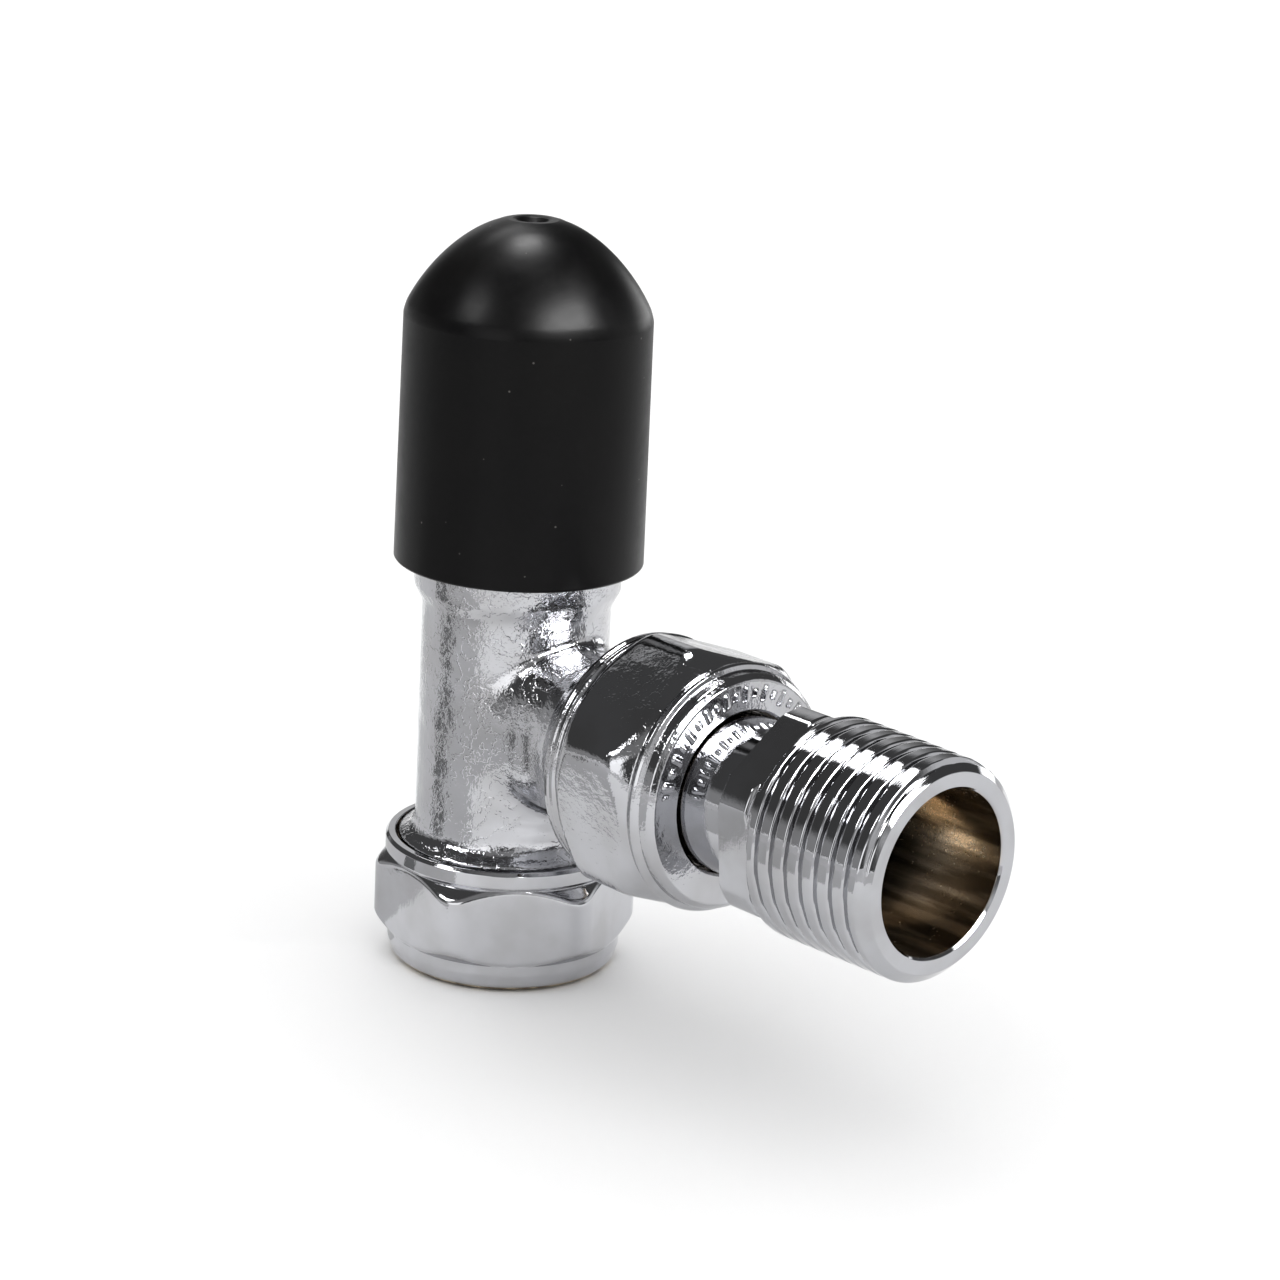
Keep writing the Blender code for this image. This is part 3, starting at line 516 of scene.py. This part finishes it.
def make_tail():
    """Radiator tail: sealed spigot, plain neck, spanner flats and thread."""
    corners = [
        (9.35, TAIL_END, 0.08),
        (10.55, TAIL_END - 1.2, 0.05),
        (10.55, 39.65, 0.1),
        (10.3, 39.4, 0.1),
        (7.6, 39.4, 0.15),
        (7.6, 30.25, 0.08),
        (6.85, 30.25, 0.08),
        (6.85, 28.45, 0.08),
        (7.6, 28.45, 0.08),
        (7.6, 28.3, 0.08),
        (7.1, 28.3, 0.08),
        (7.1, 24.9, 0.1),
        (6.0, 24.9, 0.1),
        (6.0, 23.2, 0.1),
        (7.1, 23.2, 0.1),
        (7.1, 20.5, 0.15),
        (6.8, 20.1, 0.15),
        (5.1, 20.1, 0.15),
        (5.1, 41.0, 0.3),
        (7.77, 43.0, 0.3),
        (7.77, TAIL_END - 0.25, 0.08),
        (8.02, TAIL_END, 0.08),
    ]
    outline = divided(rounded(corners), 0.1, 39.3, TAIL_END - 0.2, 9.2)

    def thread(radius, height, angle):
        taper = TAIL_TAPER * np.clip(height - 44.75, 0.0, None)
        crest = np.where(height < 43.4, BSP_RADIUS, TAIL_CREST - taper)
        depth = TAIL_GROOVE_DEPTH * smooth_step(42.6, 43.4, height)
        groove = thread_groove(height, angle, BSP_PITCH, TAIL_GROOVE_START, TAIL_GROOVE_WIDTH, TAIL_FLANK)
        cut = crest - depth * groove
        end_cone = 9.35 + (TAIL_END - height)
        cut = soft_min(cut, end_cone, 0.1)
        flats = prism_radius(angle, *TAIL_BAR)
        cut = soft_min(cut, flats + 4.0 * np.clip(height - 43.6, 0.0, 2.0), 0.08)
        outside = (radius > 9.2) & (height > 39.3)
        return np.where(outside, np.minimum(radius, cut), radius), height

    return turned("radiator_tail_shell", outline, 288, thread, along_x=True)


# ---------------------------------------------------------------- under the cap
# pitches of the threads, then the bars as for the large nuts
BONNET_PITCH, GLAND_PITCH, SPINDLE_PITCH = 1.0, 0.75, 1.5
BONNET_BAR = (16.0, 0.3, 0.2 + math.pi / 6.0)
GLAND_BAR = (14.0, 0.3, 0.4 + math.pi / 6.0)
SPINDLE_SQUARE = (4.8, 0.3, math.pi / 4.0, 4)
GRIP_RADIUS, GRIP_WIRE, GRIP_LEVEL = 8.5, 0.75, 51.6


def make_bonnet():
    """Headgear: threaded barrel, hexagon, neck for the gland nut."""
    corners = [
        (8.2, 50.5), (8.2, 49.0), (7.6, 48.9), (7.6, 44.3), (7.1, 44.2), (7.1, 35.9, 0.3), (6.7, 35.5),
        (4.3, 35.5), (4.3, 50.4), (3.6, 50.9), (3.6, 53.0), (4.95, 53.0), (4.95, 58.5), (5.7, 58.5),
        (6.0, 58.2), (6.0, 54.2), (6.9, 53.9), (6.9, 53.7), (7.9, 53.7), (8.2, 53.4), (8.2, 52.7),
        (7.4, 52.7), (7.4, 50.5),
    ]
    outline = divided(rounded(corners, 0.08, 3), 0.15, 35.9, 49.0, 7.0)
    outline = divided(outline, 0.15, 54.2, 58.4, 5.9)

    def cut(radius, height, angle):
        lower = (radius > 7.0) & (height < 43.0)
        upper = (radius > 5.9) & (height > 54.3)
        barrel = 0.4 * thread_groove(height, angle, BONNET_PITCH, 36.4, 0.3, 0.3)
        neck = 0.3 * thread_groove(height, angle, GLAND_PITCH, 54.6, 0.2, 0.25)
        groove = np.where(lower, barrel * smooth_step(36.2, 37.0, height), neck * upper)
        cone = np.minimum(8.5 + (49.0 - height), 8.3 + (height - 44.2))
        bar = soft_min(cone, prism_radius(angle, *BONNET_BAR), 0.1)
        flats = (radius > 7.3) & (height > 44.25) & (height < 48.95)
        return np.where(flats, bar, radius - groove), height

    return turned("bonnet_shell", outline, 288, cut)


def make_gland_nut():
    """Small hexagon nut that presses the packing."""
    corners = [
        (6.8, 61.6, 0.1), (7.0, 61.3, 0.1), (7.0, 55.6, 0.1), (6.9, 55.4, 0.1), (6.4, 55.4, 0.1),
        (6.3, 55.6, 0.1), (6.3, 59.9, 0.1), (3.8, 59.9, 0.1), (3.8, 61.6, 0.1),
    ]
    outline = divided(rounded(corners, 0.08, 3), 0.15, 55.4, 61.5, 6.85)

    def hexagon(radius, height, angle):
        cone = 6.85 + (61.6 - height) * 1.3
        bar = soft_min(cone, prism_radius(angle, *GLAND_BAR), 0.1)
        return np.where((radius > 6.85) & (height > 55.42), bar, radius), height

    return turned("gland_nut_shell", outline, 288, hexagon)


def make_spindle():
    """Spindle: screwed foot, seal groove, plain stem and squared head."""
    corners = [
        (0.0, 68.5), (2.4, 68.5, 0.1), (3.25, 67.7, 0.1), (3.25, 61.7, 0.1), (3.3, 61.5, 0.1),
        (3.3, 49.0, 0.1), (4.0, 48.3, 0.1), (4.0, 48.0, 0.1), (2.75, 48.0, 0.1), (2.75, 46.2, 0.1),
        (4.0, 46.2, 0.1), (4.0, 45.0, 0.1), (4.0, 38.0, 0.1), (3.15, 37.0, 0.2), (2.6, 36.4, 0.2),
        (1.5, 36.2, 0.1), (1.5, 31.6, 0.1), (2.2, 31.6, 0.1), (2.2, 30.0, 0.1), (0.0, 30.0),
    ]
    outline = divided(rounded(corners, 0.08, 3), 0.12, 37.0, 45.2, 2.9, closed=False)
    outline = divided(outline, 0.2, 61.6, 68.4, 2.3, closed=False)

    def cut(radius, height, angle):
        threaded = (radius > 3.16) & (height > 37.1) & (height < 45.1)
        groove = 0.8 * thread_groove(height, angle, SPINDLE_PITCH, 38.2, 0.45, 0.25) * threaded
        square = prism_radius(angle, *SPINDLE_SQUARE)
        head = smooth_step(61.5, 61.7, height)
        return np.minimum(radius - groove, square + 5.0 * (1.0 - head)), height

    return turned("spindle_shell", outline, 192, cut)


def make_grip_ring():
    """Rubber ring in the headgear's groove, which grips the cap."""
    turn = TAU * np.arange(28) / 28
    across, up = GRIP_WIRE * np.cos(turn), GRIP_WIRE * np.sin(turn)
    outline = np.stack([GRIP_RADIUS + across, GRIP_LEVEL + up], axis=-1)
    return turned("cap_grip_ring_soft", outline[::-1], 160)


# ----------------------------------------------------------------- materials
class Nodes:
    """Short way to write node trees: each method adds a node and gives its output."""

    def __init__(self, tree):
        self.tree = tree

    def add(self, kind, **settings):
        node = self.tree.nodes.new(kind)
        for key, value in settings.items():
            setattr(node, key, value)
        return node

    def feed(self, socket, value):
        if isinstance(value, bpy.types.NodeSocket):
            self.tree.links.new(value, socket)
        elif value is not None:
            socket.default_value = value

    def math(self, operation, first, second=None, third=None):
        node = self.add("ShaderNodeMath", operation=operation)
        for socket, value in zip(node.inputs, (first, second, third)):
            self.feed(socket, value)
        return node.outputs[0]

    def vector(self, operation, first, second):
        node = self.add("ShaderNodeVectorMath", operation=operation)
        self.feed(node.inputs[0], first)
        self.feed(node.inputs[1], second)
        return node.outputs["Value" if operation == "DOT_PRODUCT" else "Vector"]

    def ramp(self, value, low, high, to_low=0.0, to_high=1.0):
        """Eased change from to_low to to_high as value goes from low to high."""
        node = self.add("ShaderNodeMapRange", interpolation_type="SMOOTHSTEP")
        for socket, given in zip(node.inputs, (value, low, high, to_low, to_high)):
            self.feed(socket, given)
        return node.outputs["Result"]

    def noise(self, place, scale, detail=2.0, roughness=0.5):
        node = self.add("ShaderNodeTexNoise")
        self.feed(node.inputs["Vector"], place)
        self.feed(node.inputs["Scale"], scale)
        self.feed(node.inputs["Detail"], detail)
        self.feed(node.inputs["Roughness"], roughness)
        return node.outputs["Fac"]

    def specks(self, place, scale, size):
        """Small round specks in some of the cells of a loose grid."""
        node = self.add("ShaderNodeTexVoronoi")
        self.feed(node.inputs["Vector"], place)
        self.feed(node.inputs["Scale"], scale)
        chosen = self.add("ShaderNodeSeparateColor")
        self.feed(chosen.inputs[0], node.outputs["Color"])
        small = self.ramp(node.outputs["Distance"], size, size * 0.5)
        # about a quarter of the cells carry one
        return self.math("MULTIPLY", small, self.ramp(chosen.outputs[0], 0.72, 0.76))

    def mix(self, share, first, second):
        node = self.add("ShaderNodeMix", data_type="RGBA")
        self.feed(node.inputs["Factor"], share)
        self.feed(node.inputs[6], first if not isinstance(first, tuple) else (*first, 1.0))
        self.feed(node.inputs[7], second if not isinstance(second, tuple) else (*second, 1.0))
        return node.outputs[2]

    def bump(self, height, distance, under=None):
        """Bump of a height from 0 to 1 times a distance in metres, over the bump under it."""
        node = self.add("ShaderNodeBump")
        self.feed(node.inputs["Strength"], 1.0)
        self.feed(node.inputs["Distance"], distance)
        self.feed(node.inputs["Height"], height)
        if under is not None:
            self.feed(node.inputs["Normal"], under)
        return node.outputs["Normal"]


def new_material(name, metallic):
    """Material with a Principled shader. Returns it, its node helper, the shader and the place."""
    mat = bpy.data.materials.new(name)
    mat.use_nodes = True
    nodes = Nodes(mat.node_tree)
    shader = mat.node_tree.nodes["Principled BSDF"]
    shader.inputs["Metallic"].default_value = metallic
    place = nodes.add("ShaderNodeTexCoord").outputs["Object"]
    return mat, nodes, shader, place


def around_axis(nodes, place, along_x):
    """(distance from the piece's axis, place along it) in metres."""
    split = nodes.add("ShaderNodeSeparateXYZ")
    nodes.feed(split.inputs[0], place)
    x, y, z = split.outputs
    if along_x:
        level = nodes.math("SUBTRACT", z, BRANCH * MM)
        first, second, height = y, level, x
    else:
        first, second, height = x, y, z
    square = nodes.math("ADD", nodes.math("MULTIPLY", first, first), nodes.math("MULTIPLY", second, second))
    return nodes.math("SQRT", square), height


def turning_marks(nodes, distance, height, scale):
    """Fine rings left by a lathe tool, as a height from 0 to 1."""
    ring = nodes.add("ShaderNodeCombineXYZ")
    nodes.feed(ring.inputs[0], distance)
    nodes.feed(ring.inputs[1], height)
    return nodes.noise(ring.outputs[0], scale, 3.0, 0.7)


# noise cells in a metre
BLOTCH_SCALE, WAVE_SCALE, CREASE_SCALE, PEEL_SCALE, GRIT_SCALE = 180.0, 230.0, 520.0, 1150.0, 2400.0
STAIN_SCALE, PLATED_RINGS, BARE_RINGS = 700.0, 5200.0, 4200.0
CHROME_COLOUR = (0.54, 0.545, 0.57)
CHROME_DULL = (0.47, 0.47, 0.485)
STAIN_LIGHT, STAIN_DARK = (0.6, 0.51, 0.39), (0.19, 0.145, 0.095)


def chrome(name, peel, waves, rough, along_x=False, marks=0.0, inside=None, creases=0.0, shade=1.0):
    """Bright plating over brass: orange peel, slow waves, creases and lathe rings.

    peel, waves, marks and creases are heights in millimetres, shade darkens the colour, and inside
    is (radius, lowest, highest) of the bore where the plating thins out to stained brass.
    """
    mat, nodes, shader, place = new_material(name, 1.0)
    distance, height = around_axis(nodes, place, along_x)
    blotch = nodes.noise(place, BLOTCH_SCALE, 3.0)
    bright, dull = (tuple(shade * value for value in tone) for tone in (CHROME_COLOUR, CHROME_DULL))
    colour = nodes.mix(nodes.ramp(blotch, 0.35, 0.7), bright, dull)
    grit = nodes.noise(place, GRIT_SCALE, 2.0)
    slow = nodes.ramp(blotch, 0.4, 0.75, rough, rough * 1.9)
    roughness = nodes.math("ADD", slow, nodes.ramp(grit, 0.6, 0.8, 0.0, 0.04))
    if inside:
        radius, low, high = (value * MM for value in inside)
        bare = nodes.ramp(distance, radius, radius + 0.1 * MM, 1.0, 0.0)
        bare = nodes.math("MULTIPLY", bare, nodes.ramp(height, low, low + 1.5 * MM))
        bare = nodes.math("MULTIPLY", bare, nodes.ramp(height, high - 0.3 * MM, high, 1.0, 0.0))
        along = nodes.vector("MULTIPLY", place, (0.12, 1.0, 1.0) if along_x else (1.0, 1.0, 0.12))
        streaks = nodes.ramp(nodes.noise(along, STAIN_SCALE, 4.0), 0.36, 0.6)
        stain = nodes.mix(streaks, STAIN_LIGHT, STAIN_DARK)
        colour = nodes.mix(bare, colour, stain)
        roughness = nodes.math("ADD", roughness, nodes.math("MULTIPLY", bare, 0.2))
    nodes.feed(shader.inputs["Base Color"], colour)
    nodes.feed(shader.inputs["Roughness"], roughness)
    normal = nodes.bump(nodes.noise(place, WAVE_SCALE, 1.0), waves * MM)
    normal = nodes.bump(nodes.noise(place, PEEL_SCALE, 3.0, 0.6), peel * MM, normal)
    if creases:
        off = nodes.math("SUBTRACT", nodes.noise(place, CREASE_SCALE, 3.0, 0.6), 0.5)
        line = nodes.ramp(nodes.math("ABSOLUTE", off), 0.0, 0.04, 1.0, 0.0)
        patches = nodes.ramp(nodes.noise(place, 190.0), 0.36, 0.52)
        normal = nodes.bump(nodes.math("MULTIPLY", line, patches), creases * MM, normal)
    if marks:
        normal = nodes.bump(turning_marks(nodes, distance, height, PLATED_RINGS), marks * MM, normal)
    nodes.feed(shader.inputs["Normal"], normal)
    return mat


def cap_plastic():
    """Black satin moulded plastic with a fine grain, light scuffs and dust."""
    mat, nodes, shader, place = new_material("cap_plastic", 0.0)
    blotch = nodes.noise(place, 90.0, 3.0)
    dust = nodes.specks(place, 620.0, 0.08)
    colour = nodes.mix(nodes.ramp(blotch, 0.3, 0.8), (0.0016, 0.0015, 0.0018), (0.0034, 0.0032, 0.0032))
    colour = nodes.mix(nodes.math("MULTIPLY", dust, 0.5), colour, (0.2, 0.19, 0.18))
    nodes.feed(shader.inputs["Base Color"], colour)
    scuff = nodes.noise(place, 500.0, 5.0, 0.7)
    nodes.feed(shader.inputs["Roughness"], nodes.ramp(scuff, 0.3, 0.75, 0.3, 0.37))
    shader.inputs["Specular IOR Level"].default_value = 0.13
    nodes.feed(shader.inputs["Normal"], nodes.bump(nodes.noise(place, 3800.0, 2.0), 0.004 * MM))
    return mat


FORGED = chrome("chrome_forged", 0.085, 0.32, 0.05, creases=0.024)
NUT_SIDE = chrome(
    "chrome_union_nut", 0.048, 0.13, 0.045, True, marks=0.0015, inside=(10.95, 17.0, 32.2),
    creases=0.006, shade=0.92)
NUT_LOWER = chrome("chrome_compression_nut", 0.014, 0.05, 0.06, marks=0.001, inside=(11.15, -1.0, 12.8))
TURNED = chrome(
    "chrome_tail", 0.009, 0.04, 0.04, True, marks=0.004, inside=(7.9, 41.0, TAIL_END - 0.1), shade=0.86)
CAP = cap_plastic()


def machined(name, colour, stained, rough):
    """Bare turned metal: tool rings, slight tarnish."""
    mat, nodes, shader, place = new_material(name, 1.0)
    distance, height = around_axis(nodes, place, False)
    blotch = nodes.noise(place, 260.0, 4.0)
    nodes.feed(shader.inputs["Base Color"], nodes.mix(nodes.ramp(blotch, 0.4, 0.75), colour, stained))
    nodes.feed(shader.inputs["Roughness"], nodes.ramp(blotch, 0.35, 0.8, rough, rough + 0.16))
    rings = turning_marks(nodes, distance, height, BARE_RINGS)
    nodes.feed(shader.inputs["Normal"], nodes.bump(rings, 0.004 * MM))
    return mat


def soft_material(name, colour, worn, rough, grain):
    """Rubber, fibre or PTFE: matt, slightly uneven in colour and surface."""
    mat, nodes, shader, place = new_material(name, 0.0)
    blotch = nodes.noise(place, 420.0, 4.0, 0.6)
    nodes.feed(shader.inputs["Base Color"], nodes.mix(nodes.ramp(blotch, 0.35, 0.75), colour, worn))
    nodes.feed(shader.inputs["Roughness"], nodes.ramp(blotch, 0.3, 0.8, rough, rough + 0.15))
    nodes.feed(shader.inputs["Normal"], nodes.bump(nodes.noise(place, 3200.0, 3.0), grain * MM))
    return mat


BRASS = machined("brass_turned", (0.78, 0.6, 0.32), (0.62, 0.45, 0.22), 0.2)
STEEL = machined("spring_steel", (0.5, 0.5, 0.52), (0.38, 0.36, 0.35), 0.24)
RUBBER = soft_material("black_rubber", (0.018, 0.018, 0.018), (0.034, 0.033, 0.032), 0.55, 0.01)
FIBRE = soft_material("red_fibre", (0.36, 0.09, 0.06), (0.25, 0.06, 0.045), 0.7, 0.03)
PTFE = soft_material("white_ptfe", (0.86, 0.86, 0.84), (0.74, 0.73, 0.7), 0.42, 0.005)

# shape, body it rides on, node it stands for, slot, material
PIECES = (
    (make_body, "body", "valve_body", "chrome", FORGED),
    (make_cap, "cap", "cap", "cap_plastic", CAP),
    (make_union_nut, "union_nut", "union_nut", "chrome", NUT_SIDE),
    (make_compression_nut, "compression_nut", "compression_nut", "chrome", NUT_LOWER),
    (make_tail, "tail", "radiator_tail", "chrome", TURNED),
    (make_bonnet, "body", "bonnet", "brass", BRASS),
    (make_gland_nut, "gland_nut", "gland_nut", "brass", BRASS),
    (make_spindle, "spindle", "spindle", "brass", BRASS),
    (make_grip_ring, "grip_ring", "cap_grip_ring", "rubber", RUBBER),
)
for make, body, node, slot, mat in PIECES:
    piece = make()
    piece.data.materials.append(mat)
    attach(piece, body)
    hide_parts(node)

# the other parts keep their CAD shape and get a worked material
KEPT = {
    BRASS: ("gland_washer", "valve_plug", "washer_screw", "olive"),
    STEEL: ("plug_retaining_clip", "nut_retaining_ring"),
    RUBBER: ("seat_washer", "spindle_o_ring", "tail_seal"),
    FIBRE: ("bonnet_seal",),
    PTFE: ("gland_packing",),
}
for mat, nodes_kept in KEPT.items():
    for node in nodes_kept:
        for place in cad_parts[node].material_slots:
            place.material = mat


# ------------------------------------------------------------ camera and stage
CAMERA_AZIMUTH, CAMERA_ELEVATION, CAMERA_ROLL = 46.24, 16.93, 3.03
CAMERA_AIM = (12.32, 33.68)    # to the right of the spindle's axis, and above the floor
CAMERA_DISTANCE = 343.4
CAMERA_LENS, SENSOR_WIDTH = 97.68, 36.0


def add_camera():
    """Long-lens camera slightly above the branch."""
    azimuth, elevation, roll = (
        math.radians(value) for value in (CAMERA_AZIMUTH, CAMERA_ELEVATION, CAMERA_ROLL))
    right = Vector((math.cos(azimuth), math.sin(azimuth), 0.0))
    back = Vector((
        math.sin(azimuth) * math.cos(elevation),
        -math.cos(azimuth) * math.cos(elevation),
        math.sin(elevation),
    ))
    up = back.cross(right)
    aim_right, aim_up = (value * MM for value in CAMERA_AIM)
    place = aim_right * right + Vector((0.0, 0.0, aim_up)) + CAMERA_DISTANCE * MM * back
    turned_right = math.cos(roll) * right + math.sin(roll) * up
    turned_up = -math.sin(roll) * right + math.cos(roll) * up
    data = bpy.data.cameras.new("camera")
    data.sensor_width = SENSOR_WIDTH
    data.lens = CAMERA_LENS
    data.clip_start = 0.01
    camera = bpy.data.objects.new("camera", data)
    matrix = Matrix((turned_right, turned_up, back)).transposed().to_4x4()
    camera.matrix_world = Matrix.Translation(place) @ matrix
    bpy.context.scene.collection.objects.link(camera)
    bpy.context.scene.camera = camera


def studio_card(nodes, direction, azimuth, elevation, half_width, half_height, edge):
    """1 inside a soft-edged rectangle of the surroundings, all sizes in degrees."""
    turn, lift = math.radians(azimuth), math.radians(elevation)
    middle = Vector((math.cos(turn) * math.cos(lift), math.sin(turn) * math.cos(lift), math.sin(lift)))
    side = Vector((-math.sin(turn), math.cos(turn), 0.0))
    ahead = nodes.vector("DOT_PRODUCT", direction, middle)
    share = nodes.ramp(ahead, 0.0, 0.02)
    for axis, half in ((side, half_width), (middle.cross(side), half_height)):
        off = nodes.math("ABSOLUTE", nodes.vector("DOT_PRODUCT", direction, axis))
        angle = nodes.math("ARCTAN2", off, ahead)
        inside = nodes.ramp(angle, math.radians(half + edge), math.radians(half - edge))
        share = nodes.math("MULTIPLY", share, inside)
    return share


# azimuth, elevation, half width, half height, soft edge in degrees, brightness
CARDS = (
    (-74.0, 10.0, 18.0, 15.0, 5.0, 1.6),
    (-10.0, 10.0, 24.0, 18.0, 8.0, 0.6),
    (-30.0, 42.0, 62.0, 24.0, 8.0, 0.2),
    (2.0, 42.0, 21.0, 9.0, 3.0, 29.0),
    (98.0, -2.0, 16.0, 14.0, 3.0, 2.8),
    (55.0, 10.0, 14.0, 18.0, 6.0, 0.8),
    (146.0, 14.0, 14.0, 16.0, 6.0, 0.6),
    (-142.0, 4.0, 44.0, 9.0, 4.0, 0.3),
    (160.0, 47.5, 10.0, 5.0, 1.0, 5.5),
    (-108.0, 43.0, 9.0, 7.0, 2.0, 11.0),
    (150.0, 73.0, 9.0, 7.0, 3.0, 36.0),
)
ROOM_LIGHT = 0.08
# name, middle azimuth, half spread in degrees, nearest and farthest millimetres, grey, lift off the floor
PAPERS = (
    ("paper_far", 0.0, 180.0, 190.0, 900.0, 0.5, 0.3),
    ("paper_left", -160.0, 30.0, 12.0, 190.0, 0.55, 0.5),
    ("paper_dark", -131.0, 7.0, 34.0, 190.0, 0.08, 0.8),
    ("paper_middle", -104.0, 22.0, 34.0, 190.0, 0.45, 0.5),
)
FLOOR_HALF = 1.5               # metres
FLOOR_GREY = 0.86
LAMP_SIZE, LAMP_POWER, LAMP_PLACE = 5.0, 117.0, (0.05, -0.1, 1.3)


def add_world():
    """Dark room with pale cards round the object and a white view behind it.

    The cards are kept out of the diffuse light, so the overhead lamp alone sets the floor's brightness.
    """
    world = bpy.data.worlds.new("studio")
    world.use_nodes = True
    nodes = Nodes(world.node_tree)
    back = world.node_tree.nodes["Background"]
    direction = nodes.add("ShaderNodeTexCoord").outputs["Generated"]
    light = ROOM_LIGHT
    for *card, brightness in CARDS:
        light = nodes.math("MULTIPLY_ADD", studio_card(nodes, direction, *card), brightness, light)
    seen = nodes.add("ShaderNodeLightPath").outputs["Is Camera Ray"]
    back.inputs["Color"].default_value = (1.0, 1.0, 1.0, 1.0)
    nodes.feed(back.inputs["Strength"], nodes.math("MAXIMUM", light, seen))
    bpy.context.scene.world = world
    world.cycles_visibility.diffuse = False


def stage_sheet(name, points, faces, finish, grey, rough):
    """Flat sheet of the stage in one grey."""
    mesh = bpy.data.meshes.new(name)
    mesh.from_pydata(points, [], faces)
    sheet = bpy.data.objects.new(name, mesh)
    bpy.context.scene.collection.objects.link(sheet)
    mat = bpy.data.materials.new(finish)
    mat.use_nodes = True
    shader = mat.node_tree.nodes["Principled BSDF"]
    shader.inputs["Base Color"].default_value = (grey, grey, grey, 1.0)
    shader.inputs["Roughness"].default_value = rough
    sheet.data.materials.append(mat)
    return sheet


def add_floor():
    """Pale floor under the compression nut."""
    half = FLOOR_HALF
    corners = [(-half, -half, 0.0), (half, -half, 0.0), (half, half, 0.0), (-half, half, 0.0)]
    stage_sheet("floor", corners, [(0, 1, 2, 3)], "floor_white", FLOOR_GREY, 0.9)


def add_paper(name, azimuth, spread, near, far, grey, lift):
    """Grey paper lying on the floor over a sector round the object, seen only in the plating."""
    count = int(spread / 4.0) + 2
    sides = [math.radians(azimuth + spread * (2.0 * index / count - 1.0)) for index in range(count + 1)]
    points = [
        (reach * MM * math.cos(side), reach * MM * math.sin(side), lift * MM)
        for reach in (near, far) for side in sides
    ]
    row = count + 1
    faces = [(i, row + i, row + i + 1, i + 1) for i in range(count)]
    paper = stage_sheet(name, points, faces, name, grey, 0.8)
    paper.visible_camera = paper.visible_diffuse = paper.visible_shadow = False


def add_top_light():
    """Large soft light overhead, kept out of the mirror-bright plating."""
    data = bpy.data.lights.new("overhead", "AREA")
    data.shape = "SQUARE"
    data.size = LAMP_SIZE
    data.energy = LAMP_POWER
    lamp = bpy.data.objects.new("overhead", data)
    lamp.location = LAMP_PLACE
    lamp.visible_glossy = False
    bpy.context.scene.collection.objects.link(lamp)


add_camera()
add_world()
add_floor()
for paper in PAPERS:
    add_paper(*paper)
add_top_light()
bpy.context.scene.view_settings.view_transform = "Standard"
